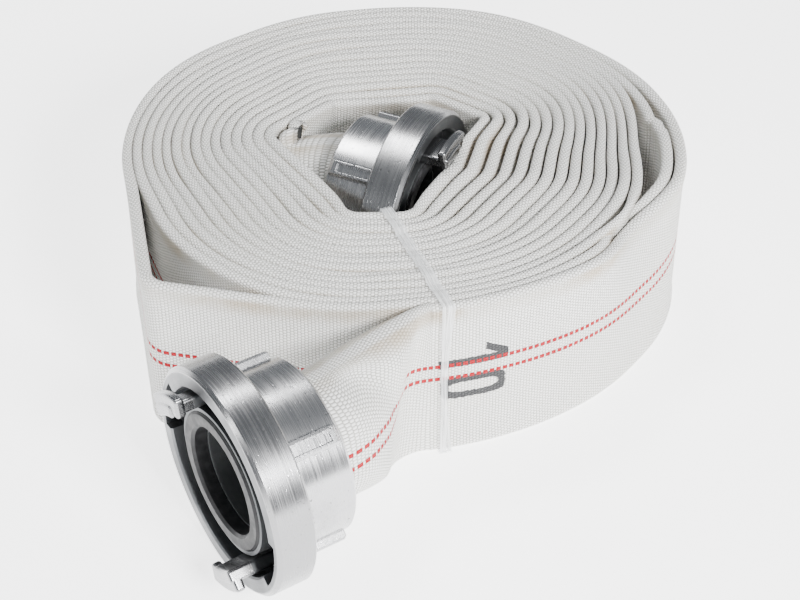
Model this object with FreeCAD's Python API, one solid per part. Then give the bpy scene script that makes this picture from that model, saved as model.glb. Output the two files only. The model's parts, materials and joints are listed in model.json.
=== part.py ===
import FreeCAD, Part
import math
import os

# Rolled lay-flat fire hose with a claw coupling on each end. Millimetres, +Z up.
# The roll stands on its edge of folds, with its winding axis vertical. The origin is the
# middle of the whole object's box, at floor level. +X runs to the right, +Y to the back.

V = FreeCAD.Vector
UP = V(0, 0, 1)

# ---- hose ------------------------------------------------------------------------------
FLAT_WIDTH = 82.0          # the hose pressed flat, standing on its edge in the roll
JACKET_WALL = 1.0          # woven jacket
LINING_WALL = 0.95         # rubber lining
FLAT_THICK = 2 * (JACKET_WALL + LINING_WALL)
PLY_GAP = 0.05             # between jacket and lining
SLIT = 0.2                 # the waterway where the hose is pressed flat
HOSE_RADIUS = 26.85        # outside radius where it is round, on a coupling

# ---- winding: the band goes clockwise round seven bends, and the turns get rounder -------
# each bend: where its centre is in the first turn, and where it has moved to in the last
BENDS = [
    (V(-52.2, 8.1), V(-10.0, 3.0)),      # left
    (V(-30.9, 31.4), V(-2.0, 8.0)),      # back left
    (V(15.2, 37.6), V(6.0, 9.0)),        # back right
    (V(35.6, 21.8), V(9.0, 5.0)),        # right
    (V(22.5, -18.4), V(10.0, 0.0)),      # front right
    (V(2.1, -51.8), V(3.0, -10.0)),      # front
    (V(-19.6, -50.8), V(-7.0, -10.0)),   # front left
]
FIRST_BEND_RADIUS = 6.95   # middle of the band, first turn
LAST_BEND_RADIUS = 121.3
FULL_TURNS = 15
LAST_BEND = 5              # the last turn ends on the front bend
FOLD_GROOVE = (0.0, 0.7, 2.5)            # where two turns' folds meet: from, to, depth
SLACK_BEND = (V(-97.0, -98.0), 12.0)     # the outermost turn stands off here
SLACK_BEFORE = FULL_TURNS * len(BENDS)
SLACK_MARGIN = 1.2         # a gap between turns narrower than this counts as closed
INNER_FOLD = V(-46.0, 16.0)              # the inner end folds back round this centre
START_HEADING = 158.0      # degrees, where the inner end joins the winding
LEAVE_ANGLE = -84.8        # degrees, where the outer end leaves the winding

# ---- couplings, size C: measured along the axis from the mouth's face, + out of the mouth --
FLANGE_RADIUS = 49.0
FLANGE_WIDTH = 17.0
SKIRT_RADIUS = 37.5
SKIRT_BORE = 33.5
COUPLING_LENGTH = 42.0
LUG_SPACING = 66.0         # between the inner faces of the two lugs
LUG_REACH = 11.0
LUG_OUTER = 38.5
HOOK_OUTER = 42.5
LUG_SPAN = 26.0            # degrees
HOOK_SPAN = 34.0
LUG_ROUND = 1.3            # rounding of the cast lugs
LIP_RADIUS = 40.5          # inside of the front lip that the other half's hooks run behind
LIP_DEPTH = 6.0
GROOVE_RADIUS = 45.0
GROOVE_DEPTH = 12.0
SLOT_SPAN = 38.0           # the entry slot beside each lug
SLOT_OFFSET = 41.0
RIB_WIDTH = 8.0
RIB_RADIUS = 41.0
RIB_COUNT = 4
WEB_FRONT = -15.0
WEB_BACK = -21.5
JOURNAL_RADIUS = 27.0
RUNNING_GAP = 0.08
COLLAR_RADIUS = 31.8
COLLAR_FRONT = -2.0
COLLAR_GAP = 0.6
BORE_RADIUS = 22.5
SPIGOT_RADIUS = 24.8       # the part of the shank inside the hose
SPIGOT_START = -24.5
SPIGOT_END = -42.0
SEAL_INNER = 23.1
SEAL_OUTER = 30.0
SEAL_FOOT = 30.9           # the seal's foot, held behind the collar's lip
SEAL_FOOT_HEIGHT = 2.2
SEAL_DEPTH = 6.0
SEAL_PROUD = 1.0
SNAP_INNER = 25.6
SNAP_OUTER = 29.0
SNAP_WIDTH = 1.5
WIRE_RADIUS = 0.9
WIRE_TURNS = 6
WIRE_START = -28.0
HOSE_ON_SHANK = -25.0      # the cut end of the hose, against the journal's shoulder
HOSE_ROUND_END = -41.0     # from here on the hose flattens

# place of each mouth's face, compass heading and tilt of the axis, lug and rib angles
COUPLINGS = {
    "outer": (V(-72.0, -198.0, 49.6), 212.55, -1.5, 33.0, 12.0),
    "inner": (V(14.0, -13.5, 49.8), -24.0, -1.5, 0.0, 40.0),
}

# ---- film tie round the roll ---------------------------------------------------------------
TIE_WIDTH = 6.0
TIE_THICK = 0.4
TIE_INNER = V(-4.75, -59.7)
TIE_HEADING = -69.3
TIE_CHANNEL = 0.6          # depth pressed into the folds under the roll
TIE_CLEAR = 0.3
TIE_SLACK = 0.7            # the roll bulges a little on one side of the tie


def polar(angle, radius=1.0):
    """A flat vector at a compass angle in degrees, 0 along +X."""
    a = math.radians(angle)
    return V(radius * math.cos(a), radius * math.sin(a))


def angle_of(v):
    return math.degrees(math.atan2(v.y, v.x))


def lerp(a, b, t):
    return a + (b - a) * t


# ---- winding path ----------------------------------------------------------------------------
def winding():
    """All bends in order: (centre, radius of the band's middle)."""
    last = FULL_TURNS * len(BENDS) + LAST_BEND
    path = []
    for i in range(last + 1):
        if i == SLACK_BEFORE:
            path.append(SLACK_BEND)
        first, final = BENDS[i % len(BENDS)]
        t = i / last
        path.append((lerp(first, final, t), lerp(FIRST_BEND_RADIUS, LAST_BEND_RADIUS, t)))
    path[0] = (INNER_FOLD, FIRST_BEND_RADIUS)
    return path


def contact_directions(path):
    """From a bend's centre to where the band meets and leaves it, for every bend."""
    out = [polar(START_HEADING + 90)]
    for (c0, r0), (c1, r1) in zip(path, path[1:]):
        along = c1 - c0
        length = along.Length
        along = along / length
        outward = V(-along.y, along.x)
        sine = (r0 - r1) / length
        out.append(outward * math.sqrt(1 - sine * sine) + along * sine)
    out.append(polar(LEAVE_ANGLE))
    return out


def band_edges(path, contacts, offset):
    """Arcs and straight runs of one side of the band, offset out from its middle."""
    edges = []
    for k, (centre, radius) in enumerate(path):
        r = radius + offset
        start = angle_of(contacts[k])
        end = angle_of(contacts[k + 1])
        while end > start:
            end -= 360
        mid = polar((start + end) / 2)
        a = centre + contacts[k] * r
        b = centre + contacts[k + 1] * r
        edges.append(Part.Arc(a, centre + mid * r, b).toShape())
        if k + 1 < len(path):
            after = path[k + 1][0] + contacts[k + 1] * (path[k + 1][1] + offset)
            edges.append(Part.LineSegment(b, after).toShape())
    return edges


def band_between(path, contacts, inner, outer, low, high):
    """The solid between two offsets from the band's middle line, and between two heights."""
    c0, r0 = path[0]
    c1, r1 = path[-1]
    start = Part.LineSegment(c0 + contacts[0] * (r0 + inner), c0 + contacts[0] * (r0 + outer))
    end = Part.LineSegment(c1 + contacts[-1] * (r1 + outer), c1 + contacts[-1] * (r1 + inner))
    sides = band_edges(path, contacts, outer) + [end.toShape()]
    sides += band_edges(path, contacts, inner)[::-1]
    face = Part.Face(Part.Wire([start.toShape()] + sides))
    face.translate(V(0, 0, low))
    return face.extrude(V(0, 0, high - low))


def turn_block(path, contacts, bend, offset):
    """The solid inside one whole turn that ends at a bend, cut straight at LEAVE_ANGLE."""
    turn = len(BENDS) + (1 if bend > SLACK_BEFORE else 0)
    bends = path[bend - turn:bend + 1]
    touches = contacts[bend - turn:bend + 2]
    touches[0] = polar(LEAVE_ANGLE)
    touches[-1] = polar(LEAVE_ANGLE)
    edges = band_edges(bends, touches, offset)
    (c0, r0), (c1, r1) = bends[0], bends[-1]
    cap = [c1 + touches[-1] * (r1 + offset), c1 + touches[-1] * (r1 - FLAT_THICK / 2 - 0.05),
           c0 + touches[0] * (r0 + offset)]
    for a, b in zip(cap, cap[1:]):
        edges.append(Part.LineSegment(a, b).toShape())
    return Part.Face(Part.Wire(edges)).extrude(V(0, 0, FLAT_WIDTH))


def largest(shape):
    return max(shape.Solids, key=lambda solid: solid.Volume)


def roll_hole(path, contacts):
    """The space inside the first turn, up to the fold where the inner end turns back."""
    half = FLAT_THICK / 2
    edges = band_edges(path[1:len(BENDS) + 1], contacts[1:len(BENDS) + 2], -half)
    start = edges[0].Vertexes[0].Point
    end = edges[-1].Vertexes[-1].Point
    face = Part.Face(Part.Wire(edges + [Part.LineSegment(end, start).toShape()]))
    fold = band_between(path[:3], contacts[:4], -half, half, 0, FLAT_WIDTH)
    return largest(face.extrude(V(0, 0, FLAT_WIDTH)).cut(fold))


def hose_roll(path, contacts):
    """The wound hose as one block of its outer shape, grooved where its folds meet."""
    half = FLAT_THICK / 2
    last = len(path) - 1
    block = turn_block(path, contacts, last, half)
    slack = turn_block(path, contacts, last, -half)
    under = turn_block(path, contacts, last - len(BENDS) - 1, half + SLACK_MARGIN)
    block = block.cut([roll_hole(path, contacts), largest(slack.cut(under))])
    first, width, depth = FOLD_GROOVE
    inner_bends = path[1:last - len(BENDS)]
    touches = contacts[1:last - len(BENDS) + 1]
    grooves = [band_between(inner_bends, touches, half + first, half + width, low, low + depth)
               for low in (0, FLAT_WIDTH - depth)]
    return block.cut(grooves)


def path_length(path, contacts):
    return sum(edge.Length for edge in band_edges(path, contacts, 0.0))


# ---- hose between the winding and a coupling ---------------------------------------------------
def oval_width(thick):
    """Width of the hose when it is pressed to a thickness, its girth staying the same."""
    return FLAT_WIDTH + (math.pi / 2 - 1) * (FLAT_THICK - thick)


def oval(centre, along, thick, inset, flat_gap):
    """Closed oval section, square to the hose's direction, its long side upright."""
    t = max(thick - 2 * inset, flat_gap)
    w = oval_width(thick) - 2 * inset
    r = t / 2 * 0.98
    side = UP.cross(along).normalize()
    rise = along.cross(side).normalize()
    half_t = t / 2
    half_w = w / 2
    diagonal = r * (1 - math.sqrt(0.5))

    def at(x, y):
        return centre + side * x + rise * y

    edges = []
    corners = [(1, 1), (-1, 1), (-1, -1), (1, -1)]
    for k, (sx, sy) in enumerate(corners):
        on_side = at(sx * half_t, sy * (half_w - r))
        on_end = at(sx * (half_t - r), sy * half_w)
        bulge = at(sx * (half_t - diagonal), sy * (half_w - diagonal))
        first, second = (on_side, on_end) if sx * sy > 0 else (on_end, on_side)
        edges.append(Part.Arc(first, bulge, second).toShape())
        nx, ny = corners[(k + 1) % 4]
        if sy == ny:
            following = at(nx * (half_t - r), ny * half_w)
        else:
            following = at(nx * half_t, ny * (half_w - r))
        edges.append(Part.LineSegment(second, following).toShape())
    return Part.Wire(edges)


def run_stations(start, start_dir, end, end_dir, thicknesses, pull):
    """Points, directions and thicknesses along a smooth run between two ends."""
    stations = []
    count = len(thicknesses) - 1
    for i, thick in enumerate(thicknesses):
        t = i / count
        a = 2 * t**3 - 3 * t**2 + 1
        b = t**3 - 2 * t**2 + t
        c = -2 * t**3 + 3 * t**2
        d = t**3 - t**2
        point = start * a + start_dir * (pull * b) + end * c + end_dir * (pull * d)
        da = 6 * t**2 - 6 * t
        db = 3 * t**2 - 4 * t + 1
        dd = 3 * t**2 - 2 * t
        heading = (start - end) * da + start_dir * (pull * db) + end_dir * (pull * dd)
        if i < count:
            heading.z = 0
        stations.append((point, heading.normalize(), thick))
    return stations


def hose_run(stations, inset, flat_gap):
    wires = [oval(point, along, thick, inset, flat_gap) for point, along, thick in stations]
    return Part.makeLoft(wires, True, True)


def hose_tube(stations, outer_inset, inner_inset, outer_gap, inner_gap):
    """One ply of the hose along the stations."""
    outside = hose_run(stations, outer_inset, outer_gap)
    inside = hose_run(stations, inner_inset, inner_gap)
    return outside.cut(inside)


def cuff(inner, outer):
    """The round stretch of one ply on the shank, in the coupling's own frame."""
    length = HOSE_ON_SHANK - HOSE_ROUND_END
    tube = Part.makeCylinder(outer, length, V(0, 0, HOSE_ROUND_END))
    return tube.cut(Part.makeCylinder(inner, length, V(0, 0, HOSE_ROUND_END)))


# ---- coupling pieces, each in the coupling's own frame: axis +Z, out of the mouth -----------------
def revolved(points, sweep=360.0):
    outline = [V(r, 0, z) for r, z in points]
    face = Part.Face(Part.makePolygon(outline + outline[:1]))
    return face.revolve(V(0, 0, 0), UP, sweep)


def ring_sector(inner, outer, low, high, middle, span):
    block = revolved([(inner, low), (outer, low), (outer, high), (inner, high)], span)
    block.rotate(V(0, 0, 0), UP, middle - span / 2)
    return block


def rounded(block):
    return block.makeFillet(LUG_ROUND, block.Edges)


def lug_ring(rib_angle):
    """Turning outer ring: flange, front lip, two hooked lugs, grip ribs and skirt."""
    web_bore = JOURNAL_RADIUS + RUNNING_GAP
    body = revolved([
        (FLANGE_RADIUS - 1.6, 0), (FLANGE_RADIUS, -1.6), (FLANGE_RADIUS, 0.8 - FLANGE_WIDTH),
        (FLANGE_RADIUS - 0.8, -FLANGE_WIDTH), (SKIRT_RADIUS, -FLANGE_WIDTH),
        (SKIRT_RADIUS, 1.2 - COUPLING_LENGTH), (SKIRT_RADIUS - 1.2, -COUPLING_LENGTH),
        (SKIRT_BORE + 0.8, -COUPLING_LENGTH), (SKIRT_BORE, 0.8 - COUPLING_LENGTH),
        (SKIRT_BORE, WEB_BACK), (web_bore, WEB_BACK), (web_bore, WEB_FRONT),
        (COLLAR_RADIUS + COLLAR_GAP, WEB_FRONT), (COLLAR_RADIUS + COLLAR_GAP, -GROOVE_DEPTH),
        (GROOVE_RADIUS, -GROOVE_DEPTH), (GROOVE_RADIUS, -LIP_DEPTH),
        (LIP_RADIUS, -LIP_DEPTH), (LIP_RADIUS, -0.8), (LIP_RADIUS + 0.8, 0),
    ])
    lug_inner = LUG_SPACING / 2
    hook_low = LUG_REACH - 5.0
    for lug in (0, 180):
        slot = ring_sector(LIP_RADIUS - 1, GROOVE_RADIUS, -LIP_DEPTH - 1, 1,
                           lug + SLOT_OFFSET, SLOT_SPAN)
        body = body.cut(slot)
        stem = ring_sector(lug_inner, LUG_OUTER, -GROOVE_DEPTH - 1, LUG_REACH, lug, LUG_SPAN)
        hook = ring_sector(lug_inner + 1, HOOK_OUTER, hook_low, LUG_REACH - 0.8,
                           lug - (HOOK_SPAN - LUG_SPAN) / 2, HOOK_SPAN)
        body = body.fuse([rounded(stem), rounded(hook)])
    for k in range(RIB_COUNT):
        length = COUPLING_LENGTH - FLANGE_WIDTH - 2.5
        rib = Part.makeBox(RIB_RADIUS - SKIRT_BORE - 1, RIB_WIDTH, length,
                           V(SKIRT_BORE + 1, -RIB_WIDTH / 2, -FLANGE_WIDTH - length))
        groove = Part.makeBox(2, RIB_WIDTH - 4, length - 3,
                              V(RIB_RADIUS - 1.2, 2 - RIB_WIDTH / 2, -FLANGE_WIDTH - length + 3))
        rib = rib.makeChamfer(1.0, [rib.Edges[i] for i in rib_crest_edges(rib)])
        rib = rib.cut(groove)
        rib.rotate(V(0, 0, 0), UP, rib_angle + k * 360 / RIB_COUNT)
        body = body.fuse(rib)
    return body.removeSplitter()


def rib_crest_edges(rib):
    """The three outer edges at the crest and tail of a rib."""
    high = rib.BoundBox.XMax
    low = rib.BoundBox.ZMin
    chosen = []
    for i, edge in enumerate(rib.Edges):
        box = edge.BoundBox
        on_crest = abs(box.XMin - high) < 1e-6 and abs(box.XMax - high) < 1e-6
        lengthwise = box.ZLength > 1 or abs(box.ZMin - low) < 1e-6
        if on_crest and lengthwise:
            chosen.append(i)
    return chosen


def shank():
    """Fixed inner part: collar with the seal's groove, journal and spigot in the hose."""
    collar_back = WEB_FRONT + 0.3
    seal_floor = COLLAR_FRONT - SEAL_DEPTH
    snap_front = WEB_BACK - 0.3
    snap_back = snap_front - SNAP_WIDTH - 0.2
    lip_back = seal_floor + SEAL_FOOT_HEIGHT + 0.1
    spigot = [
        (BORE_RADIUS, seal_floor), (SEAL_FOOT + 0.1, seal_floor), (SEAL_FOOT + 0.1, lip_back),
        (SEAL_OUTER + 0.1, lip_back), (SEAL_OUTER + 0.1, COLLAR_FRONT),
        (COLLAR_RADIUS, COLLAR_FRONT),
        (COLLAR_RADIUS, collar_back), (JOURNAL_RADIUS, collar_back),
        (JOURNAL_RADIUS, snap_front), (SNAP_INNER - 0.1, snap_front),
        (SNAP_INNER - 0.1, snap_back), (JOURNAL_RADIUS, snap_back),
        (JOURNAL_RADIUS, SPIGOT_START), (SPIGOT_RADIUS, SPIGOT_START),
    ]
    for z in (-30.0, -36.0):
        spigot += [(SPIGOT_RADIUS, z + 1.2), (SPIGOT_RADIUS - 0.8, z + 0.4),
                   (SPIGOT_RADIUS - 0.8, z - 0.4), (SPIGOT_RADIUS, z - 1.2)]
    spigot += [(SPIGOT_RADIUS, SPIGOT_END + 1.0), (SPIGOT_RADIUS - 0.8, SPIGOT_END),
               (BORE_RADIUS, SPIGOT_END)]
    return revolved(spigot)


def seal():
    low = COLLAR_FRONT - SEAL_DEPTH + 0.1
    foot_top = low + SEAL_FOOT_HEIGHT - 0.1
    high = COLLAR_FRONT + SEAL_PROUD
    return revolved([
        (SEAL_INNER, low), (SEAL_FOOT, low), (SEAL_FOOT, foot_top), (SEAL_OUTER, foot_top),
        (SEAL_OUTER, high - 0.9), (SEAL_OUTER - 0.9, high), (SEAL_INNER + 1.2, high),
        (SEAL_INNER, high - 1.2),
    ])


def snap_ring():
    """Split spring wire behind the turning ring's web."""
    high = WEB_BACK - 0.4
    low = high - SNAP_WIDTH
    return revolved([(SNAP_INNER, low), (SNAP_OUTER, low), (SNAP_OUTER, high),
                     (SNAP_INNER, high)], 348.0)


def binding_wire():
    """Close-wound wire that clamps the hose on the spigot."""
    radius = HOSE_RADIUS + PLY_GAP + WIRE_RADIUS
    pitch = 1.9 * WIRE_RADIUS
    turns = [Part.makeTorus(radius, WIRE_RADIUS, V(0, 0, WIRE_START - k * pitch))
             for k in range(WIRE_TURNS)]
    return turns[0].fuse(turns[1:])


def coupling_placement(name):
    """From the coupling's own frame to the roll's frame; its +X is up before the lug angle."""
    face, heading, tilt, lug_angle, _ = COUPLINGS[name]
    e = math.radians(tilt)
    axis = polar(heading, math.cos(e)) + UP * math.sin(e)
    side = UP.cross(axis).normalize()
    rise = axis.cross(side).normalize()
    turn = FreeCAD.Rotation(rise, side, axis, "ZXY")
    return FreeCAD.Placement(face, turn), axis, lug_angle


def placed(shape, placement, lug_angle=0.0):
    copy = shape.copy()
    copy.rotate(V(0, 0, 0), UP, lug_angle)
    copy.Placement = placement.multiply(copy.Placement)
    return copy


# ---- film tie -----------------------------------------------------------------------------------
def tie_frame(last_centre, last_radius):
    """Start, direction and length of the tie's run across the top of the roll."""
    along = polar(TIE_HEADING)
    outside = last_radius + FLAT_THICK / 2 + TIE_CLEAR
    rel = TIE_INNER - last_centre
    half = rel.dot(along)
    reach = -half + math.sqrt(half * half - rel.dot(rel) + outside * outside)
    corner = (TIE_WIDTH / 2) ** 2 / (2 * outside)
    return along, reach + corner + TIE_SLACK


def tie_loop(along, reach, grow, width):
    """A block round the roll's section, grown by an amount on its ends and top. Its inner end
    lies flat on the front wall of the hole, which runs along X."""
    side = V(-along.y, along.x)
    skew = along * (-side.y / along.y)
    plan = [
        TIE_INNER - along * grow - (side + skew) * (width / 2),
        TIE_INNER + along * (reach + grow) - side * (width / 2),
        TIE_INNER + along * (reach + grow) + side * (width / 2),
        TIE_INNER - along * grow + (side + skew) * (width / 2),
    ]
    face = Part.Face(Part.makePolygon(plan + plan[:1]))
    face.translate(UP * (TIE_THICK - grow))
    return face.extrude(UP * (FLAT_WIDTH + TIE_CLEAR + 2 * grow - TIE_THICK))


def build():
    parts = {}
    path = winding()
    contacts = contact_directions(path)
    last_centre, last_radius = path[-1]

    along, reach = tie_frame(last_centre, last_radius)
    inner_block = tie_loop(along, reach, 0.0, TIE_WIDTH)
    parts["tie_strap"] = tie_loop(along, reach, TIE_THICK, TIE_WIDTH).cut(inner_block)

    channel = tie_loop(along, reach, 3.0, TIE_WIDTH + 2 * TIE_CLEAR + 1)
    channel.translate(V(0, 0, TIE_CHANNEL - channel.BoundBox.ZMax))
    parts["hose_roll"] = hose_roll(path, contacts).cut(channel)

    # the two free ends, from the winding to each coupling
    mid_height = UP * (FLAT_WIDTH / 2)
    leave = last_centre + contacts[-1] * last_radius + mid_height
    leave_dir = polar(LEAVE_ANGLE - 90)
    first_centre, first_radius = path[0]
    join = first_centre + contacts[0] * first_radius + mid_height
    join_dir = polar(START_HEADING)
    ends = {
        "outer": (leave, leave_dir, (FLAT_THICK, 10.0, 24.0, 40.0, 50.0, 53.7), 62.0),
        "inner": (join, join_dir * -1, (FLAT_THICK, 16.0, 34.0, 47.0, 53.7), 26.0),
    }
    inner_ply = JACKET_WALL + PLY_GAP
    bore = JACKET_WALL + LINING_WALL
    for name, (start, start_dir, thicknesses, pull) in ends.items():
        placement, axis, lug_angle = coupling_placement(name)
        end = placement.multVec(V(0, 0, HOSE_ROUND_END))
        stations = run_stations(start, start_dir, end, axis, thicknesses, pull)
        flat_lining = FLAT_THICK - 2 * JACKET_WALL
        jacket_run = hose_tube(stations, 0, JACKET_WALL, FLAT_THICK, flat_lining)
        lining_run = hose_tube(stations, inner_ply, bore, flat_lining - 2 * PLY_GAP, SLIT)
        jacket_cuff = cuff(HOSE_RADIUS - JACKET_WALL, HOSE_RADIUS)
        lining_cuff = cuff(HOSE_RADIUS - bore, HOSE_RADIUS - inner_ply)
        parts[name + "_jacket_end"] = jacket_run.fuse(placed(jacket_cuff, placement))
        parts[name + "_lining_end"] = lining_run.fuse(placed(lining_cuff, placement))
        pieces = {
            "lug_ring": lug_ring(COUPLINGS[name][4]),
            "shank": shank(),
            "seal": seal(),
            "snap_ring": snap_ring(),
            "binding_wire": binding_wire(),
        }
        for piece, shape in pieces.items():
            turn = lug_angle if piece == "lug_ring" else 0.0
            parts[name + "_" + piece] = placed(shape, placement, turn)
    return parts, path_length(path, contacts)


def main():
    parts, wound = build()
    whole = Part.makeCompound(list(parts.values())).BoundBox
    shift = V(-whole.Center.x, -whole.Center.y, 0)
    os.makedirs("parts", exist_ok=True)
    for name, shape in parts.items():
        shape = shape.copy()
        shape.translate(shift)
        shape.exportStep("parts/" + name + ".step")
        box = shape.BoundBox
        print(f"{name:20s} {len(shape.Solids)} {shape.isValid()} {shape.Volume / 1000:8.1f} cm3 "
              f"x {box.XMin:.1f}..{box.XMax:.1f} y {box.YMin:.1f}..{box.YMax:.1f} "
              f"z {box.ZMin:.2f}..{box.ZMax:.2f}")
    print("shift", shift, "wound length", round(wound), "mm")
    for name in COUPLINGS:
        placement, axis, _ = coupling_placement(name)
        print(name, "face", placement.Base + shift, "axis", axis)


main()
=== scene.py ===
import json
import math

import bpy
import numpy as np
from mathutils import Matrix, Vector


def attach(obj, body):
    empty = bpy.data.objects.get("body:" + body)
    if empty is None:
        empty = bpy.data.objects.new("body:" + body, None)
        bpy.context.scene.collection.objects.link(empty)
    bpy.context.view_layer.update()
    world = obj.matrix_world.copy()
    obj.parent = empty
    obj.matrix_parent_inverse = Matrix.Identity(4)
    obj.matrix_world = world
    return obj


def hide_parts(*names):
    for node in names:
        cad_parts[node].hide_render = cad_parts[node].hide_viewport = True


# A flat-rolled fire hose with a claw coupling on each end. The metal pieces are the CAD nodes. The
# hose, its lining and the film tie are built here, along the same winding as the CAD solids.
# Lengths in this file are millimetres until a mesh is made; MM turns them into metres.

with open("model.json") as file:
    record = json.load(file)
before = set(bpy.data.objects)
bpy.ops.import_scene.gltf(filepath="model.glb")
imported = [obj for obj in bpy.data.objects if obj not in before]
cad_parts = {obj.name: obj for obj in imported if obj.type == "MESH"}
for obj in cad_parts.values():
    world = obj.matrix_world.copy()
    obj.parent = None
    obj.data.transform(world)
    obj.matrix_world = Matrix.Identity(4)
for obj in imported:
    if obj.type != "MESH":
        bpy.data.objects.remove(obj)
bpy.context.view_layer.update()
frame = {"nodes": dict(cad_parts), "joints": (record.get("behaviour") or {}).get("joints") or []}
MM = 0.001
UP = np.array([0.0, 0.0, 1.0])

# ---- the CAD's shape, in the roll's own frame: winding axis at x = y = 0 ---------------------
FLAT_WIDTH = 82.0
FLAT_THICK = 3.9
HOSE_RADIUS = 26.85
BENDS = [
    ((-52.2, 8.1), (-10.0, 3.0)),
    ((-30.9, 31.4), (-2.0, 8.0)),
    ((15.2, 37.6), (6.0, 9.0)),
    ((35.6, 21.8), (9.0, 5.0)),
    ((22.5, -18.4), (10.0, 0.0)),
    ((2.1, -51.8), (3.0, -10.0)),
    ((-19.6, -50.8), (-7.0, -10.0)),
]
FIRST_BEND_RADIUS = 6.95
LAST_BEND_RADIUS = 121.3
FULL_TURNS = 15
LAST_BEND = 5
SLACK_BEND = ((-97.0, -98.0), 12.0)
INNER_FOLD = (-46.0, 16.0)
START_HEADING = 158.0
LEAVE_ANGLE = -84.8
OUTER_FACE = np.array([-72.0, -198.0, 49.6])
FACE_TO_CUFF = 41.0
FACE_TO_HOSE_END = 25.0

joints = {j["name"]: j for j in frame["joints"]}
outer_joint = joints["outer_ring_swivel"]
inner_joint = joints["inner_ring_swivel"]
SHIFT = np.array(outer_joint["pos_m"]) / MM - OUTER_FACE
INNER_FACE = np.array(inner_joint["pos_m"]) / MM - SHIFT


# ---- small helpers ---------------------------------------------------------------------------
def polar(angle, radius=1.0):
    a = math.radians(angle)
    return np.array([radius * math.cos(a), radius * math.sin(a)])


def smooth(low, high, x):
    t = np.clip((np.asarray(x, float) - low) / (high - low), 0, 1)
    return t * t * (3 - 2 * t)


def bump(x, centre, half):
    """1 at the centre, falling smoothly to 0 at half either side."""
    return 1 - smooth(0, half, np.abs(np.asarray(x, float) - centre))


def waves(x, scales, seed):
    """A smooth random wave of about unit height."""
    r = np.random.default_rng(seed)
    total = np.zeros_like(np.asarray(x, float))
    for scale in scales:
        total += np.sin(2 * np.pi * x / scale + r.uniform(0, 6.28))
    return total / math.sqrt(len(scales))


# ---- the winding: the same bends and tangents as the CAD -------------------------------------
def winding():
    last = FULL_TURNS * len(BENDS) + LAST_BEND
    path = []
    for i in range(last + 1):
        if i == FULL_TURNS * len(BENDS):
            path.append((np.array(SLACK_BEND[0]), SLACK_BEND[1]))
        first, final = (np.array(c) for c in BENDS[i % len(BENDS)])
        t = i / last
        radius = FIRST_BEND_RADIUS + (LAST_BEND_RADIUS - FIRST_BEND_RADIUS) * t
        path.append((first + (final - first) * t, radius))
    path[0] = (np.array(INNER_FOLD), FIRST_BEND_RADIUS)
    return path


def contact_directions(path):
    out = [polar(START_HEADING + 90)]
    for (c0, r0), (c1, r1) in zip(path, path[1:]):
        along = c1 - c0
        length = np.linalg.norm(along)
        along = along / length
        outward = np.array([-along[1], along[0]])
        sine = (r0 - r1) / length
        out.append(outward * math.sqrt(1 - sine * sine) + along * sine)
    out.append(polar(LEAVE_ANGLE))
    return out


def sampled_winding():
    """Points of the band's middle line, its outward normals and the bend number."""
    path = winding()
    contacts = contact_directions(path)
    points, normals, bends = [], [], []
    for k, (centre, radius) in enumerate(path):
        a0 = math.atan2(contacts[k][1], contacts[k][0])
        a1 = math.atan2(contacts[k + 1][1], contacts[k + 1][0])
        while a1 > a0:
            a1 -= 2 * math.pi
        steps = max(1, math.ceil((a0 - a1) / min(math.radians(12), 3.6 / radius)))
        for i in range(steps):
            a = a0 + (a1 - a0) * i / steps
            n = np.array([math.cos(a), math.sin(a)])
            points.append(centre + n * radius)
            normals.append(n)
            bends.append(k)
        if k + 1 < len(path):
            start = centre + contacts[k + 1] * radius
            end = path[k + 1][0] + contacts[k + 1] * path[k + 1][1]
            steps = max(1, math.ceil(np.linalg.norm(end - start) / 3.6))
            for i in range(steps):
                points.append(start + (end - start) * i / steps)
                normals.append(contacts[k + 1])
                bends.append(k + 0.5)
    centre, radius = path[-1]
    points.append(centre + contacts[-1] * radius)
    normals.append(contacts[-1])
    bends.append(len(path) - 1)
    return np.array(points), np.array(normals), np.array(bends)


def hermite(start, start_dir, end, end_dir, pull, t):
    a = 2 * t**3 - 3 * t**2 + 1
    b = t**3 - 2 * t**2 + t
    c = -2 * t**3 + 3 * t**2
    d = t**3 - t**2
    point = np.outer(a, start) + np.outer(b * pull, start_dir)
    point += np.outer(c, end) + np.outer(d * pull, end_dir)
    da = 6 * t**2 - 6 * t
    db = 3 * t**2 - 4 * t + 1
    dd = 3 * t**2 - 2 * t
    heading = np.outer(da, start - end) + np.outer(db * pull, start_dir)
    heading += np.outer(dd * pull, end_dir)
    return point, heading / np.linalg.norm(heading, axis=1)[:, None]


# ---- stations: the whole hose from the inner coupling to the outer one -----------------------
class Stations:
    """Centre, travel direction, side direction and thickness at each place along the hose."""

    def __init__(self, centre, along, thick, kind, twist):
        self.centre, self.along, self.thick = centre, along, thick
        self.kind, self.twist = kind, twist
        side = np.cross(UP, along)
        self.side = side / np.linalg.norm(side, axis=1)[:, None]
        self.rise = np.cross(along, self.side)
        step = np.linalg.norm(np.diff(centre, axis=0), axis=1)
        self.length = np.concatenate([[0], np.cumsum(step)])


WINDING, TAIL, LEAD = 0, 1, 2
mid_xy, out_xy, bend_number = sampled_winding()
count = len(mid_xy)
mid_height = FLAT_WIDTH / 2


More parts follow.
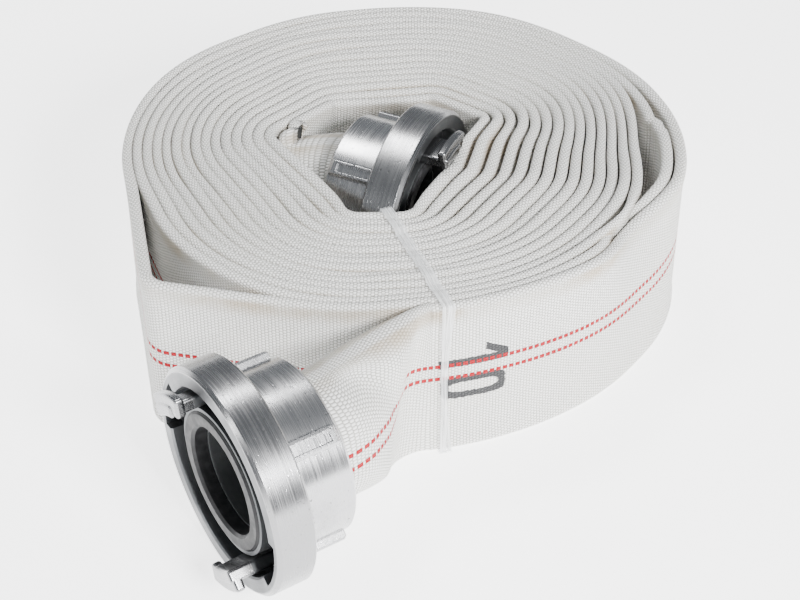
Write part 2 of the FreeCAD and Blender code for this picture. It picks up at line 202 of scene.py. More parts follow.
def end_run(start, start_dir, face, axis, knots, pull, steps):
    """From the winding to a coupling: hermite run that opens from flat to round, then the cuff."""
    cuff = face - axis * FACE_TO_CUFF
    t = np.linspace(0, 1, steps)
    point, heading = hermite(start, start_dir, cuff, axis, pull, t)
    thick = np.interp(t, np.linspace(0, 1, len(knots)), knots)
    beyond = np.array([4.0, 8.0, 12.0, FACE_TO_CUFF - FACE_TO_HOSE_END])
    point = np.vstack([point, cuff + np.outer(beyond, axis)])
    heading = np.vstack([heading, np.repeat(axis[None], len(beyond), 0)])
    thick = np.concatenate([thick, np.full(len(beyond), 2 * HOSE_RADIUS)])
    run = np.concatenate([t, 1 + beyond / 100])
    return point[1:], heading[1:], thick[1:], run[1:]


outer_axis = np.array(outer_joint["axis"])
inner_axis = np.array(inner_joint["axis"])
# thickness of each free end, at even steps from the winding to its coupling
OUTER_KNOTS = (3.9, 8.0, 19.0, 36.0, 48.0, 53.7)
INNER_KNOTS = (3.9, 16.0, 34.0, 47.0, 53.7)
OUTER_PULL, INNER_PULL = 62.0, 26.0
OUTER_STEPS, INNER_STEPS = 34, 14
leave = np.append(mid_xy[-1], mid_height)
leave_dir = np.append(polar(LEAVE_ANGLE - 90), 0)
join = np.append(mid_xy[0], mid_height)
join_dir = np.append(polar(START_HEADING), 0)
tail = end_run(leave, leave_dir, OUTER_FACE, outer_axis, OUTER_KNOTS, OUTER_PULL,
               OUTER_STEPS)
lead = end_run(join, -join_dir, INNER_FACE, inner_axis, INNER_KNOTS, INNER_PULL,
               INNER_STEPS)

TAIL_TWIST = math.radians(14)      # the free end rolls over as it opens
along_xy = np.stack([out_xy[:, 1], -out_xy[:, 0]], 1)
stations = Stations(
    np.vstack([lead[0][::-1], np.c_[mid_xy, np.full(count, mid_height)], tail[0]]),
    np.vstack([-lead[1][::-1], np.c_[along_xy, np.zeros(count)], tail[1]]),
    np.concatenate([lead[2][::-1], np.full(count, FLAT_THICK), tail[2]]),
    np.concatenate([np.full(len(lead[0]), LEAD), np.full(count, WINDING),
                    np.full(len(tail[0]), TAIL)]),
    np.concatenate([np.zeros(len(lead[0]) + count), TAIL_TWIST * smooth(0.2, 1, tail[3])]),
)
first, last = len(lead[0]), len(lead[0]) + count
tail_run = np.concatenate([np.zeros(last), tail[3]])
turn = np.concatenate([np.zeros(first), bend_number / len(BENDS),
                       np.full(len(tail[0]), FULL_TURNS + 1.0)])


# ---- how the cloth differs from the plain winding --------------------------------------------
# The rim of the first turns leans into the hole: how far, by compass angle about the hole
HOLE = np.array([-6.0, -8.0])
LEAN_ANGLES = [-180, -150, -125, -105, -85, -60, -35, -10, 10, 30, 60, 90, 120, 150, 180]
LEAN = [3.5, 5.5, 6.5, 3.5, 3.0, 7.5, 9.0, 8.5, 8.5, 5.0, 3.5, 3.5, 3.0, 3.0, 3.5]


DRAWN_IN = 8.5             # by the tie, at the front
GAP_AT_RIGHT = 9.5         # the turns under the outermost one sit this much further in
LOOSENESS = 0.45
EAR_LEAN, EAR_DROP = 8.0, 5.0        # the outermost turn's top, where that gap closes


def pulled_in(angle, station_turn):
    """The tie draws the front of the roll in, each turn a little more than the last."""
    return DRAWN_IN * bump(angle, -68, 62) * np.asarray(station_turn) / (FULL_TURNS + 1)


def shifted(points, out, station_turn, station_length):
    """Moves surface points of the winding: leaning rim, gap at the right, uneven turns."""
    xy = points[..., :2]
    high = np.clip(points[..., 2] / FLAT_WIDTH, 0, 1)
    angle = np.degrees(np.arctan2(xy[..., 1], xy[..., 0]))
    hole = xy - HOLE
    hole_angle = np.degrees(np.arctan2(hole[..., 1], hole[..., 0]))
    radius = np.linalg.norm(xy, axis=-1)
    lean = np.interp(hole_angle, LEAN_ANGLES, LEAN)
    lean = lean * np.exp(-(station_turn / 3.2) ** 1.5) * high**5

    under = 1 - smooth(FULL_TURNS - 0.72, FULL_TURNS - 0.45, station_turn)
    gap = bump(angle, 0, 36) * GAP_AT_RIGHT * under * (radius / 125) ** 2
    loose = waves(angle + 40 * station_turn / FULL_TURNS, (360, 180, 120, 72), 3)
    loose = LOOSENESS * loose * smooth(0, 2, station_turn)
    move = -lean - gap - pulled_in(angle, station_turn) + loose

    ear = (1 - under) * bump(angle, -30, 18)
    move = move - ear * EAR_LEAN * high**3
    drop = 0.8 + 0.7 * waves(station_length, (97, 163, 251, 411), 11)
    drop = drop + ear * EAR_DROP
    moved = points.copy()
    moved[..., :2] += out * move[..., None]
    moved[..., 2] -= drop * high**3
    low = 0.5 + 0.4 * waves(station_length, (131, 207, 333), 5)
    moved[..., 2] += low * (1 - high) ** 6
    return moved


MOST_ROOM = 3.0
ANOTHER_TURN = 60.0        # cloth further along than this belongs to another turn


def room_between_turns():
    """Half the room outward and inward of each station's rim, for the folds to fill."""
    rim = np.c_[mid_xy, np.full(count, FLAT_WIDTH)]
    w = slice(first, last)
    rim = shifted(rim, out_xy, turn[w], stations.length[w])[:, :2]
    length = stations.length[w]
    outward = np.full(count, MOST_ROOM)
    inward = np.full(count, MOST_ROOM)
    for i in range(count):
        away = rim - rim[i]
        far = np.abs(length - length[i]) > ANOTHER_TURN
        dist = np.hypot(away[:, 0], away[:, 1])
        ahead = away @ out_xy[i]
        for sign, store in ((1, outward), (-1, inward)):
            near = dist[far & (sign * ahead > 0.5 * dist)]
            if len(near):
                store[i] = min(MOST_ROOM, near.min() / 2)
    return outward, inward


def eased(values):
    """A running mean of five."""
    padded = np.concatenate([[values[0]] * 2, values, [values[-1]] * 2])
    return np.convolve(padded, np.ones(5) / 5, mode="valid")


fold_out, fold_in = (eased(room) for room in room_between_turns())

# ---- cross-section ---------------------------------------------------------------------------
# Distances along the girth from the bottom fold, up the outer face and down the inner one. The
# folds are fine and the faces coarse.
GIRTH = 2 * (FLAT_WIDTH - FLAT_THICK) + math.pi * FLAT_THICK
FOLD_REACH = 5.4
FACE_SHARES = [0.05, 0.12, 0.22, 0.33, 0.44, 0.56, 0.67, 0.78, 0.88, 0.95]
FOLD_STEPS = 4


def girth_positions():
    half = GIRTH / 2
    face = half - 2 * FOLD_REACH
    quarter = list(np.linspace(0, FOLD_REACH, FOLD_STEPS + 1))
    rising = quarter + [FOLD_REACH + face * s for s in FACE_SHARES]
    rising += [half - d for d in quarter[::-1]][:-1]
    return np.array(rising + [half + d for d in rising])


def halved(positions):
    ring = np.append(positions, GIRTH)
    both = np.empty(2 * len(positions))
    both[0::2] = ring[:-1]
    both[1::2] = (ring[:-1] + ring[1:]) / 2
    return both


def stadium(position, thick, width):
    """Side and rise of girth positions on an oval; side is + on the outer face."""
    half = math.pi * thick / 2 + (width - thick)
    d = (np.asarray(position) % GIRTH) * (2 * half / GIRTH)
    sign = np.where(d > half, -1.0, 1.0)
    d = np.where(d > half, 2 * half - d, d)
    r = thick / 2
    arc = math.pi * r / 2
    straight = width - thick
    low = np.clip(d, 0, arc) / r
    flat = np.clip(d - arc, 0, straight)
    top = np.clip(d - arc - straight, 0, arc) / r
    side = np.where(d < arc + straight, r * np.sin(low), r * np.cos(top))
    rise = np.where(d < arc, -straight / 2 - r * np.cos(low), -straight / 2 + flat)
    rise = np.where(d > arc + straight, straight / 2 + r * np.sin(top), rise)
    return side * sign, rise


FOLD_THICK = 5.0           # the folds are fuller than the faces between them
FOLD_HEIGHT, FOLD_FADE = 2.5, 5.5
FOLD_HALF = 2.75
TURN_GAP = 0.06
GATHERED = 4.8             # the inner end's tight fold gathers cloth in its middle
FLOOR_GAP = 0.15
gathered_stations = int(np.count_nonzero(bend_number == 0))


def section(index, positions, inset):
    """Surface points of one station, in the roll's frame."""
    s = stations
    kind = s.kind[index]
    if kind == WINDING:
        w = index - first
        side, rise = stadium(positions, FOLD_THICK, FLAT_WIDTH)
        below_fold = FLAT_WIDTH / 2 - FOLD_HEIGHT - np.abs(rise)
        near_fold = np.where(below_fold < 0, 1.0, np.exp(-((below_fold / FOLD_FADE) ** 2)))
        crowd_out = min(fold_out[w] - TURN_GAP, FOLD_HALF)
        crowd_in = min(fold_in[w] - TURN_GAP, FOLD_HALF)
        flat_out = min(crowd_out, FLAT_THICK / 2)
        flat_in = min(crowd_in, FLAT_THICK / 2)
        if w < gathered_stations:
            crowd_in = flat_in + GATHERED
        half_out = flat_out + (crowd_out - flat_out) * near_fold
        half_in = flat_in + (crowd_in - flat_in) * near_fold
        wide = np.where(side > 0, half_out, half_in) / (FOLD_THICK / 2)
        side = side * wide * (1 - inset / 2.2)
        rise = rise * (1 - inset / (FLAT_WIDTH / 2))
    else:
        thick = max(s.thick[index] - 2 * inset, 1.2)
        width = FLAT_WIDTH + (math.pi / 2 - 1) * (FLAT_THICK - s.thick[index]) - 2 * inset
        side, rise = stadium(positions, thick, width)
        if kind == TAIL:
            side = creased(tail_run[index], positions, side)
    twist = s.twist[index]
    c, sn = math.cos(twist), math.sin(twist)
    side, rise = side * c - rise * sn, side * sn + rise * c
    points = s.centre[index] + np.outer(side, s.side[index]) + np.outer(rise, s.rise[index])
    if kind == WINDING:
        n = len(positions)
        points = shifted(points, np.repeat(out_xy[w][None], n, 0), np.full(n, turn[index]),
                         np.full(n, s.length[index]))
    if kind == TAIL:
        draw = pulled_in(LEAVE_ANGLE, FULL_TURNS + 1) * (1 - smooth(0, 0.5, tail_run[index]))
        points[:, :2] -= polar(LEAVE_ANGLE) * draw
    points[:, 2] = np.maximum(points[:, 2], FLOOR_GAP)
    return points


def creased(t, positions, side):
    """The free end's creases, at t from 0 where it leaves the roll to 1 at the coupling."""
    share = positions / (GIRTH / 2)

    def fold(depth, t_middle, t_half, share_middle, share_width):
        across = np.exp(-(((share - share_middle) / share_width) ** 2))
        return depth * bump(t, t_middle, t_half) * across

    # on the outer face: a valley above the stitched lines, deepest just before the coupling
    valley_at = 0.66 + 0.22 * np.clip((t - 0.40) / 0.5, 0, 1)
    valley = fold(8.5, 0.68, 0.26, valley_at, 0.10)
    hollow = fold(3.0, 0.22, 0.22, 0.55, 0.3)
    shoulder = fold(3.5, 0.92, 0.18, 0.72, 0.16)
    ridge = fold(1.5, 0.36, 0.2, 0.72, 0.2)
    side = side - (valley + hollow - shoulder - ridge) * (share < 1)
    # on the inner face: one broad hollow
    off_fold = smooth(2, 12, np.minimum(positions, GIRTH - positions))
    return side + fold(4.0, 0.5, 0.35, 1.5, 0.2) * off_fold


# ---- meshes ----------------------------------------------------------------------------------
def new_object(name, vertices, faces, corner_uv, uv_name):
    mesh = bpy.data.meshes.new(name)
    mesh.from_pydata((np.asarray(vertices) + SHIFT) * MM, [], faces)
    mesh.shade_smooth()
    layer = mesh.uv_layers.new(name=uv_name)
    layer.data.foreach_set("uv", np.asarray(corner_uv, np.float32).ravel())
    obj = bpy.data.objects.new(name, mesh)
    bpy.context.scene.collection.objects.link(obj)
    return obj


def hose_mesh(name, inset):
    """The hose as one tube: coarse rings in the winding, twice as fine on the two free ends."""
    coarse = girth_positions()
    fine = halved(coarse)
    rings = [coarse if kind == WINDING else fine for kind in stations.kind]
    starts = np.concatenate([[0], np.cumsum([len(ring) for ring in rings])]).tolist()
    vertices = [section(i, ring, inset) for i, ring in enumerate(rings)]
    faces, uvs = [], []
    for i in range(len(rings) - 1):
        a, b = rings[i], rings[i + 1]
        na, nb = len(a), len(b)
        u0, u1 = stations.length[i], stations.length[i + 1]
        va, vb = np.append(a, GIRTH), np.append(b, GIRTH)
        sa, sb = starts[i], starts[i + 1]
        for j in range(min(na, nb)):
            if na == nb:
                k = (j + 1) % na
                faces.append((sa + j, sa + k, sb + k, sb + j))
                uvs += [(u0, va[j]), (u0, va[j + 1]), (u1, vb[j + 1]), (u1, vb[j])]
            elif na > nb:
                k, m, n = 2 * j, 2 * j + 1, (2 * j + 2) % na
                faces.append((sa + k, sa + m, sa + n, sb + (j + 1) % nb, sb + j))
                uvs += [(u0, va[k]), (u0, va[m]), (u0, va[m + 1]), (u1, vb[j + 1]), (u1, vb[j])]
            else:
                k, m, n = 2 * j, 2 * j + 1, (2 * j + 2) % nb
                faces.append((sa + j, sa + (j + 1) % na, sb + n, sb + m, sb + k))
                uvs += [(u0, va[j]), (u0, va[j + 1]), (u1, vb[m + 1]), (u1, vb[m]), (u1, vb[k])]
    return new_object(name, np.vstack(vertices), faces, uvs, "weave")


hose = hose_mesh("hose_jacket", 0.0)
lining = hose_mesh("hose_lining", 1.05)


# ---- camera ----------------------------------------------------------------------------------
CAMERA_TARGET = np.array([0.0, -17.0, 0.0])
CAMERA_ELEVATION = math.radians(38)
CAMERA_DISTANCE = 903.0


def add_camera():
    back = np.array([0.0, -math.cos(CAMERA_ELEVATION), math.sin(CAMERA_ELEVATION)])
    data = bpy.data.cameras.new("camera")
    data.sensor_width = 36.0
    data.lens = 83.25
    data.clip_start = 0.01
    data.clip_end = 50
    obj = bpy.data.objects.new("camera", data)
    bpy.context.scene.collection.objects.link(obj)
    obj.location = (CAMERA_TARGET + back * CAMERA_DISTANCE + SHIFT) * MM
    obj.rotation_mode = "QUATERNION"
    obj.rotation_quaternion = Vector(-back).to_track_quat("-Z", "Y")
    bpy.context.scene.camera = obj


add_camera()


# ---- node materials --------------------------------------------------------------------------
class Nodes:
    """Short forms for building a material's node tree."""

    def __init__(self, name):
        self.material = bpy.data.materials.new(name)
        self.material.use_nodes = True
        self.tree = self.material.node_tree
        self.tree.nodes.clear()
        self.surface = self.add("ShaderNodeBsdfPrincipled")
        output = self.add("ShaderNodeOutputMaterial")
        self.tree.links.new(self.surface.outputs[0], output.inputs[0])

    def add(self, kind, **properties):
        node = self.tree.nodes.new(kind)
        for key, value in properties.items():
            setattr(node, key, value)
        return node

    def feed(self, socket, value):
        if isinstance(value, bpy.types.NodeSocket):
            self.tree.links.new(value, socket)
        else:
            socket.default_value = value

    def maths(self, operation, *values, clamp=False):
        node = self.add("ShaderNodeMath", operation=operation, use_clamp=clamp)
        for socket, value in zip(node.inputs, values):
            self.feed(socket, value)
        return node.outputs[0]

    def vector(self, operation, *values):
        node = self.add("ShaderNodeVectorMath", operation=operation)
        for socket, value in zip(node.inputs, values):
            self.feed(socket, value)
        return node.outputs["Value" if operation in ("DOT_PRODUCT", "LENGTH") else 0]

    def combine(self, x, y, z):
        node = self.add("ShaderNodeCombineXYZ")
        for socket, value in zip(node.inputs, (x, y, z)):
            self.feed(socket, value)
        return node.outputs[0]

    def noise(self, vector, scale, detail=2.0, rough=0.5):
        node = self.add("ShaderNodeTexNoise")
        self.feed(node.inputs["Vector"], vector)
        node.inputs["Scale"].default_value = scale
        node.inputs["Detail"].default_value = detail
        node.inputs["Roughness"].default_value = rough
        return node.outputs[0]

    def ramp(self, value, low, high, out_low=0.0, out_high=1.0):
        node = self.add("ShaderNodeMapRange", interpolation_type="SMOOTHSTEP")
        for socket, v in zip(node.inputs, (value, low, high, out_low, out_high)):
            self.feed(socket, v)
        return node.outputs[0]

    def mix(self, factor, a, b):
        node = self.add("ShaderNodeMix", data_type="RGBA")
        self.feed(node.inputs["Factor"], factor)
        self.feed(node.inputs[6], (*a, 1) if isinstance(a, tuple) else a)
        self.feed(node.inputs[7], (*b, 1) if isinstance(b, tuple) else b)
        return node.outputs[2]

    def bump(self, height, distance, strength=1.0, normal=None):
        node = self.add("ShaderNodeBump")
        node.inputs["Strength"].default_value = strength
        node.inputs["Distance"].default_value = distance
        self.feed(node.inputs["Height"], height)
        if normal is not None:
            self.feed(node.inputs["Normal"], normal)
        return node.outputs[0]

    def set(self, **values):
        for name, value in values.items():
            socket = self.surface.inputs[name.replace("_", " ")]
            is_colour = isinstance(value, tuple) and len(value) == 3
            self.feed(socket, (*value, 1) if is_colour else value)
        return self.material


WEAVE_PITCH = 1.55
FACE_MIDDLE = GIRTH / 4    # girth position of the middle of the outer face
STITCH_OFFSET = 3.4        # of each red line from the middle between them
STITCH_PITCH = 3.2
STITCH_RISE = 4.0          # how much higher the lines run by the tie


def woven_material():
    n = Nodes("woven_jacket")
    uv = n.add("ShaderNodeUVMap", uv_map="weave").outputs[0]
    parts = n.add("ShaderNodeSeparateXYZ")
    n.feed(parts.inputs[0], uv)
    along, round_ = parts.outputs[0], parts.outputs[1]
    place = n.add("ShaderNodeTexCoord").outputs["Object"]

    # threads: rows of small knuckles, each row half a step from the next
    wander = n.maths("MULTIPLY", n.maths("SUBTRACT", n.noise(place, 60.0), 0.5), 0.5)
    u = n.maths("ADD", n.maths("DIVIDE", along, WEAVE_PITCH), wander)
    v = n.maths("ADD", n.maths("DIVIDE", round_, WEAVE_PITCH), wander)
    row = n.maths("FLOOR", u)
    v = n.maths("ADD", v, n.maths("MULTIPLY", row, 0.5))
    knuckle_u = n.maths("ABSOLUTE", n.maths("SINE", n.maths("MULTIPLY", u, math.pi)))
    knuckle_v = n.maths("ABSOLUTE", n.maths("SINE", n.maths("MULTIPLY", v, math.pi)))
    knuckle = n.maths("MULTIPLY", n.maths("POWER", knuckle_u, 0.6),
                      n.maths("POWER", knuckle_v, 0.8))
    fuzz = n.noise(place, 900.0, 2.0)
    height = n.maths("ADD", knuckle, n.maths("MULTIPLY", fuzz, 0.25))

    # the cloth is painted darker between the knuckles: painted shade in the weave's hollows
    cloth = n.mix(n.ramp(knuckle, 0.05, 0.75), (0.40, 0.39, 0.36), (0.90, 0.895, 0.875))
    cloud = n.ramp(n.noise(place, 14.0, 3.0), 0.35, 0.7)
    cloth = n.mix(n.maths("MULTIPLY", cloud, 0.16), cloth, (0.76, 0.74, 0.66))

    # painted shade along the seams between the folds: the fold sides are painted darker grey, and
    # brown in patches
    to_top = n.maths("ABSOLUTE", n.maths("SUBTRACT", round_, GIRTH / 2))
    seam_shade = n.maths("MULTIPLY", n.ramp(to_top, 2.2, 4.6), n.ramp(to_top, 14.0, 5.5))
    patchy = n.ramp(n.noise(place, 22.0, 3.0, 0.6), 0.42, 0.66)
    cloth = n.mix(n.maths("MULTIPLY", seam_shade, 0.45), cloth, (0.52, 0.49, 0.43))
    cloth = n.mix(n.maths("MULTIPLY", n.maths("MULTIPLY", seam_shade, patchy), 0.5), cloth,
                  (0.40, 0.28, 0.14))

    # two stitched red lines along the middle of the outer face
    end = float(stations.length[last - 1])
    rise = n.maths("MINIMUM", n.ramp(along, end - 170, end - 30), n.ramp(along, end + 70, end + 10))
    level = n.maths("SUBTRACT", round_, n.maths("MULTIPLY", rise, STITCH_RISE))
    red = None
    for sign in (-1, 1):
        away = n.maths("ABSOLUTE", n.maths("SUBTRACT", level, FACE_MIDDLE + sign * STITCH_OFFSET))
        line = n.ramp(away, 1.2, 0.85)
        red = line if red is None else n.maths("MAXIMUM", red, line)
    dash = n.maths("FRACT", n.maths("DIVIDE", along, STITCH_PITCH))
    dash = n.maths("ABSOLUTE", n.maths("SUBTRACT", dash, 0.5))
    dash = n.ramp(dash, 0.39, 0.33)
    red = n.maths("MULTIPLY", red, dash)
    height = n.maths("ADD", height, n.maths("MULTIPLY", red, 0.6))

    paint = numerals(n, along, round_, place)
    cloth = n.mix(n.maths("MULTIPLY", paint, 0.96), cloth, (0.018, 0.019, 0.022))
    cloth = n.mix(red, cloth, (0.36, 0.0, 0.008))
    rough = n.ramp(fuzz, 0.3, 0.7, 0.72, 0.88)
    return n.set(Base_Color=cloth, Roughness=rough, Normal=n.bump(height, 0.0005, 1.0),
                 Sheen_Weight=0.04, Specular_IOR_Level=0.25)


NUMERAL_FROM, NUMERAL_TO = 36.0, 3.0      # back along the hose from where it leaves the roll


def numerals(n, along, round_, place):
    """The length mark, a one and a nought painted across the hose's face."""
    end = float(stations.length[last - 1])
    ragged = n.maths("MULTIPLY", n.maths("SUBTRACT", n.noise(place, 700.0, 1.0), 0.5), 1.2)
    x = n.maths("ADD", n.maths("SUBTRACT", along, end - NUMERAL_FROM), ragged)
    x = n.maths("SUBTRACT", NUMERAL_FROM - NUMERAL_TO, x)
    y = n.maths("ADD", n.maths("SUBTRACT", round_, FACE_MIDDLE), ragged)
    reach = NUMERAL_FROM - NUMERAL_TO

    def bar(x0, x1, y0, y1):
        across = n.maths("ABSOLUTE", n.maths("SUBTRACT", x, (x0 + x1) / 2))
        up = n.maths("ABSOLUTE", n.maths("SUBTRACT", y, (y0 + y1) / 2))
        a = n.ramp(n.maths("SUBTRACT", across, (x1 - x0) / 2), 0.25, -0.25)
        b = n.ramp(n.maths("SUBTRACT", up, (y1 - y0) / 2), 0.25, -0.25)
        return n.maths("MULTIPLY", a, b)

    def oval(half_x, half_y, power):
        across = n.maths("ABSOLUTE", n.maths("DIVIDE", n.maths("SUBTRACT", x, reach / 2), half_x))
        up = n.maths("ABSOLUTE", n.maths("DIVIDE", n.maths("SUBTRACT", y, -5.5), half_y))
        return n.maths("ADD", n.maths("POWER", across, power), n.maths("POWER", up, power))

    one = bar(0, reach, 6.1, 10.3)
    lean_y = n.maths("SUBTRACT", y, n.maths("MULTIPLY", n.maths("SUBTRACT", x, reach), -0.5))
    flag_x = n.ramp(n.maths("ABSOLUTE", n.maths("SUBTRACT", x, reach - 5.5)), 5.8, 5.3)
    flag_y = n.ramp(n.maths("ABSOLUTE", n.maths("SUBTRACT", lean_y, 9.6)), 2.3, 1.8)
    one = n.maths("MAXIMUM", one, n.maths("MULTIPLY", flag_x, flag_y))
    filled = n.ramp(oval(reach / 2 - 1.0, 6.0, 5.0), 1.15, 0.85)
    centre = n.ramp(oval(reach / 2 - 4.8, 2.6, 3.5), 1.15, 0.85)
    ring = n.maths("SUBTRACT", filled, centre)
    return n.maths("MAXIMUM", one, n.maths("MAXIMUM", ring, 0.0))


def rubber_material(name, colour, scale):
    n = Nodes(name)
    place = n.add("ShaderNodeTexCoord").outputs["Object"]
    fleck = n.noise(place, scale, 3.0, 0.6)
    tone = n.mix(n.ramp(fleck, 0.35, 0.7), colour, tuple(1.6 * c + 0.008 for c in colour))
    return n.set(Base_Color=tone, Roughness=n.ramp(fleck, 0.3, 0.7, 0.42, 0.6),
                 Specular_IOR_Level=0.25, Normal=n.bump(fleck, 0.00015, 0.4))


def turned_metal(name, joint, colour, rough_low, rough_high, scratch=0.4):
    """Metal turned on a lathe round a coupling's axis: fine rings, pits and rubbed edges."""
    n = Nodes(name)
    place = n.add("ShaderNodeTexCoord").outputs["Object"]
    axis = Vector(joint["axis"])
    side = Vector((0, 0, 1)).cross(axis).normalized()
    rise = axis.cross(side)
    local = n.vector("SUBTRACT", place, tuple(joint["pos_m"]))
    z = n.vector("DOT_PRODUCT", local, tuple(axis))
    x = n.vector("DOT_PRODUCT", local, tuple(side))
    y = n.vector("DOT_PRODUCT", local, tuple(rise))
    radius = n.maths("SQRT", n.maths("ADD", n.maths("MULTIPLY", x, x), n.maths("MULTIPLY", y, y)))
    # rings are long round the axis and short along it
    ringed = n.combine(n.maths("MULTIPLY", z, 3200.0), n.maths("MULTIPLY", radius, 3200.0),
                       n.maths("MULTIPLY", n.maths("ARCTAN2", y, x), 1.0))
    rings = n.noise(ringed, 1.0, 2.0, 0.5)
    pits = n.ramp(n.noise(place, 420.0, 2.0, 0.7), 0.66, 0.74)
    smudge = n.noise(place, 38.0, 4.0, 0.6)
    thin = n.noise(n.combine(n.maths("MULTIPLY", x, 500.0), n.maths("MULTIPLY", y, 60.0),
                             n.maths("MULTIPLY", z, 500.0)), 1.0, 1.0)
    scratches = n.maths("MULTIPLY", n.ramp(thin, 0.70, 0.73), scratch)
    tone = n.mix(n.ramp(rings, 0.3, 0.7), tuple(0.93 * c for c in colour), colour)
    tone = n.mix(n.maths("MULTIPLY", n.ramp(smudge, 0.42, 0.66), 0.45), tone,
                 tuple(0.6 * c for c in colour))
    # the flange's rim is painted darker than the polished skirt: a painted dark reflection
    rim = n.maths("MULTIPLY", n.ramp(radius, 0.0466, 0.0472), n.ramp(z, -0.0178, -0.0170))
    tone = n.mix(n.maths("MULTIPLY", rim, 0.8), tone, tuple(0.55 * c for c in colour))
    lugs = n.ramp(z, 0.0004, 0.0012)
    tone = n.mix(n.maths("MULTIPLY", lugs, 0.8), tone, tuple(0.5 * c for c in colour))
    tone = n.mix(pits, tone, tuple(0.35 * c for c in colour))
    # painted shade in the recesses: the mouth's face and grooves, and inside the bore, painted near
    # black; the same mask makes them rougher
    face = n.maths("MULTIPLY", n.ramp(z, -0.0150, -0.0135), n.ramp(z, 0.0009, 0.0004))
    face = n.maths("MULTIPLY", face, n.ramp(radius, 0.0474, 0.0466))
    bore = n.maths("MULTIPLY", n.ramp(radius, 0.0236, 0.0230), n.ramp(z, -0.002, -0.010))
    recess_shade = n.maths("MULTIPLY", n.maths("MAXIMUM", face, bore), n.ramp(smudge, 0.2, 0.6, 0.75, 1.0))
    tone = n.mix(n.maths("MULTIPLY", recess_shade, 0.9), tone, (0.10, 0.105, 0.11))
    rough = n.ramp(rings, 0.25, 0.75, rough_low, rough_high)
    rough = n.maths("ADD", rough, n.maths("MULTIPLY", recess_shade, 0.2))
    rough = n.maths("ADD", rough, n.maths("MULTIPLY", n.ramp(smudge, 0.4, 0.8), 0.10))
    edge = n.add("ShaderNodeBevel", samples=4)
    edge.inputs["Radius"].default_value = 0.0004
    height = n.maths("SUBTRACT", n.maths("MULTIPLY", rings, 0.05),
                     n.maths("ADD", n.maths("MULTIPLY", pits, 0.8), scratches))
    normal = n.bump(height, 0.00006, 0.7, edge.outputs[0])
    return n.set(Base_Color=tone, Metallic=1.0, Roughness=rough, Normal=normal)


def film_material():
    n = Nodes("clear_film")
    uv = n.add("ShaderNodeUVMap", uv_map="film").outputs[0]
    streak = n.noise(n.vector("MULTIPLY", uv, (0.035, 1.6, 1.0)), 1.0, 3.0, 0.6)
    pulled = n.ramp(streak, 0.35, 0.7)
    colour = n.mix(pulled, (0.86, 0.88, 0.90), (0.96, 0.97, 0.98))
    return n.set(Base_Color=colour, Roughness=n.ramp(streak, 0.3, 0.7, 0.18, 0.4),
                 Alpha=n.ramp(streak, 0.3, 0.72, 0.25, 0.8), Normal=n.bump(streak, 0.0006, 0.8))


def floor_material():
    n = Nodes("pale_floor")
    place = n.add("ShaderNodeTexCoord").outputs["Object"]
    grain = n.noise(place, 3.0, 2.0)
    return n.set(Base_Color=n.mix(grain, (0.93, 0.93, 0.93), (0.95, 0.95, 0.95)),
                 Roughness=0.9, Specular_IOR_Level=0.1,
                 Emission_Color=(1.0, 1.0, 1.0), Emission_Strength=2.6)


# ---- film tie --------------------------------------------------------------------------------
TIE_WIDTH = 6.0
TIE_SLACK = 0.5            # off the cloth at the ends
FILM_ABOVE = 0.35          # off the cloth on top
FILM_LOW = 0.12            # off the floor
FRONT_STEPS, INSIDE_STEPS, TOP_STEPS, UNDER_STEPS = 26, 14, 46, 14
TIE_COLUMNS = 9
TIE_INNER = np.array([-4.75, -59.7])
TIE_HEADING = -69.3


def roll_section(along):
    """Cloth under the tie: distance out from the hole's front wall, and height."""
    side = np.array([-along[1], along[0]])
    co = np.empty(len(hose.data.vertices) * 3, np.float32)
    hose.data.vertices.foreach_get("co", co)
    co = co.reshape(-1, 3) / MM - SHIFT
    rel = co[:, :2] - TIE_INNER
    across = rel @ side
    reach = rel @ along
    close = (np.abs(across) < 3.5) & (reach > -20) & (reach < 90)
    return reach[close], co[close, 2]


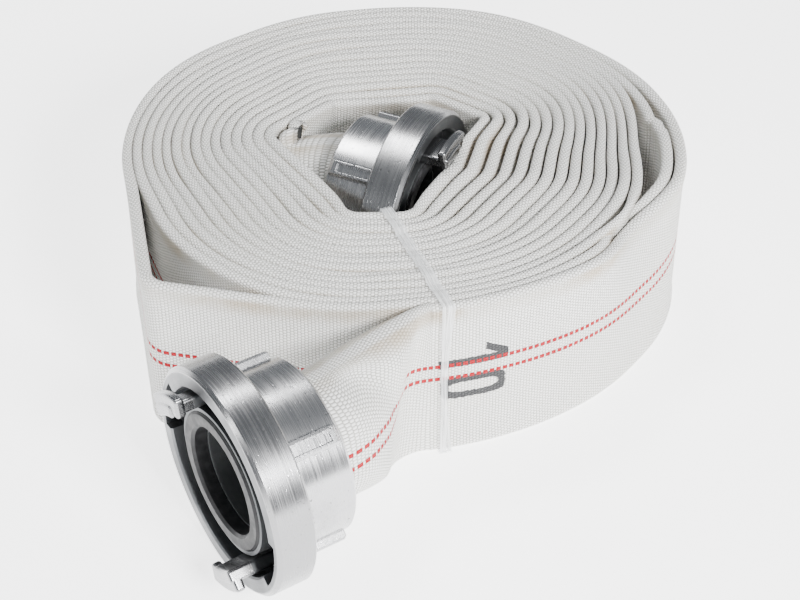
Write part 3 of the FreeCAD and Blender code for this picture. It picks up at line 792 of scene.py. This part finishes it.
def film_tie():
    along = polar(TIE_HEADING)
    side = np.array([-along[1], along[0]])
    reach, z = roll_section(along)
    inner_edge = reach[z > 60].min() - TIE_SLACK
    outer_edge = reach.max() + TIE_SLACK
    inner_low = reach[z < 40].min() - TIE_SLACK
    # down the inner wall, across the top, down the front and back underneath
    top = []
    for d in np.linspace(inner_edge, outer_edge, TOP_STEPS):
        here = np.abs(reach - d) < 3.2
        top.append((d, max(z[here].max() if here.any() else 80.0, 78.0) + FILM_ABOVE))
    low = FILM_LOW
    inside = [(inner_low + (inner_edge - inner_low) * t, low + (top[0][1] - 2 - low) * t)
              for t in np.linspace(0, 1, INSIDE_STEPS)]
    front = [(outer_edge + 0.15, top[-1][1] - 1.5 - (top[-1][1] - 1.5 - low) * t)
             for t in np.linspace(0, 1, FRONT_STEPS)]
    under = [(outer_edge + (inner_low - outer_edge) * t, low)
             for t in np.linspace(0, 1, UNDER_STEPS)]
    loop = np.array(inside + top + front + under[1:-1])
    n = len(loop)
    step = np.linalg.norm(np.roll(loop, -1, 0) - loop, axis=1)
    run = np.concatenate([[0], np.cumsum(step)])
    columns = TIE_COLUMNS
    vertices, faces, uvs = [], [], []
    for i, (d, h) in enumerate(loop):
        on_front = len(inside) + len(top) <= i < len(inside) + len(top) + len(front)
        down = (i - len(inside) - len(top)) / len(front) if on_front else 0.0
        half = TIE_WIDTH / 2 * (0.48 + 0.52 * abs(2 * down - 1) ** 1.5 if on_front else 0.92)
        drift = -1.6 * math.sin(math.pi * down) if on_front else 0.0
        for j in range(columns):
            c = (j / (columns - 1) - 0.5) * 2
            crumple = 0.22 * math.sin(3.1 * c * 3 + run[i] / 9.0) * (1 - 0.3 * c * c)
            lift = crumple + 0.25
            if on_front:
                xy = TIE_INNER + along * (d + lift) + side * (c * half + drift)
                height = h
            elif i < len(inside):
                xy = TIE_INNER + along * (d - lift * 0.5) + side * (c * half)
                height = h
            else:
                xy = TIE_INNER + along * d + side * (c * half)
                height = h + lift if h > 10 else h
            vertices.append((xy[0], xy[1], height))
    for i in range(n):
        k = (i + 1) % n
        for j in range(columns - 1):
            a, b = i * columns + j, i * columns + j + 1
            c, d = k * columns + j + 1, k * columns + j
            faces.append((a, d, c, b))
            width = TIE_WIDTH / (columns - 1)
            u0, u1 = run[i], run[i + 1]
            uvs += [(u0, j * width), (u1, j * width), (u1, (j + 1) * width), (u0, (j + 1) * width)]
    return new_object("film_tie", vertices, faces, uvs, "film")


tie = film_tie()

# ---- pieces, bodies and materials ------------------------------------------------------------
hose.data.materials.append(woven_material())
lining.data.materials.append(rubber_material("rubber_lining", (0.035, 0.036, 0.035), 160.0))
tie.data.materials.append(film_material())
for piece in (hose, lining, tie):
    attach(piece, "hose")
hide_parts("hose_roll", "outer_jacket_end", "inner_jacket_end")
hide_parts("outer_lining_end", "inner_lining_end")
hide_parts("tie_strap")

seal_rubber = rubber_material("seal_rubber", (0.012, 0.012, 0.013), 260.0)
for name, joint in (("outer", outer_joint), ("inner", inner_joint)):
    alloy = turned_metal(name + "_turned_alloy", joint, (0.50, 0.50, 0.51), 0.18, 0.30)
    shank_alloy = turned_metal(name + "_shank_alloy", joint, (0.38, 0.39, 0.39), 0.26, 0.42)
    spring = turned_metal(name + "_spring_wire", joint, (0.55, 0.55, 0.56), 0.25, 0.4, 0.0)
    wire = turned_metal(name + "_binding_wire", joint, (0.60, 0.60, 0.60), 0.30, 0.45, 0.0)
    looks = {"lug_ring": alloy, "shank": shank_alloy, "seal": seal_rubber, "snap_ring": spring,
             "binding_wire": wire}
    for node, material in looks.items():
        mesh = frame["nodes"][name + "_" + node].data
        mesh.materials.clear()
        mesh.materials.append(material)


# ---- floor and lights ------------------------------------------------------------------------
def add_floor():
    mesh = bpy.data.meshes.new("floor")
    size = 30.0
    mesh.from_pydata([(-size, -size, 0), (size, -size, 0), (size, size, 0), (-size, size, 0)], [],
                     [(0, 1, 2, 3)])
    mesh.materials.append(floor_material())
    floor = bpy.data.objects.new("floor", mesh)
    bpy.context.scene.collection.objects.link(floor)


def add_light(name, position, target, size, power):
    data = bpy.data.lights.new(name, "AREA")
    data.shape = "RECTANGLE"
    data.size, data.size_y = size
    data.energy = power
    lamp = bpy.data.objects.new(name, data)
    bpy.context.scene.collection.objects.link(lamp)
    lamp.location = position
    lamp.rotation_mode = "QUATERNION"
    lamp.rotation_quaternion = (Vector(target) - Vector(position)).to_track_quat("-Z", "Y")


def add_world():
    world = bpy.data.worlds.new("studio")
    world.use_nodes = True
    background = world.node_tree.nodes["Background"]
    background.inputs[0].default_value = (0.85, 0.90, 0.95, 1)
    background.inputs[1].default_value = 0.36
    bpy.context.scene.world = world


add_floor()
add_light("key", (0.75, -1.25, 0.95), (0.0, -0.02, 0.03), (0.45, 0.45), 72)
add_light("top", (-0.3, 0.5, 1.4), (0.0, 0.0, 0.04), (0.6, 0.3), 14)
add_light("left", (-1.3, -0.6, 0.5), (0.0, -0.05, 0.05), (0.2, 0.9), 7)
add_world()
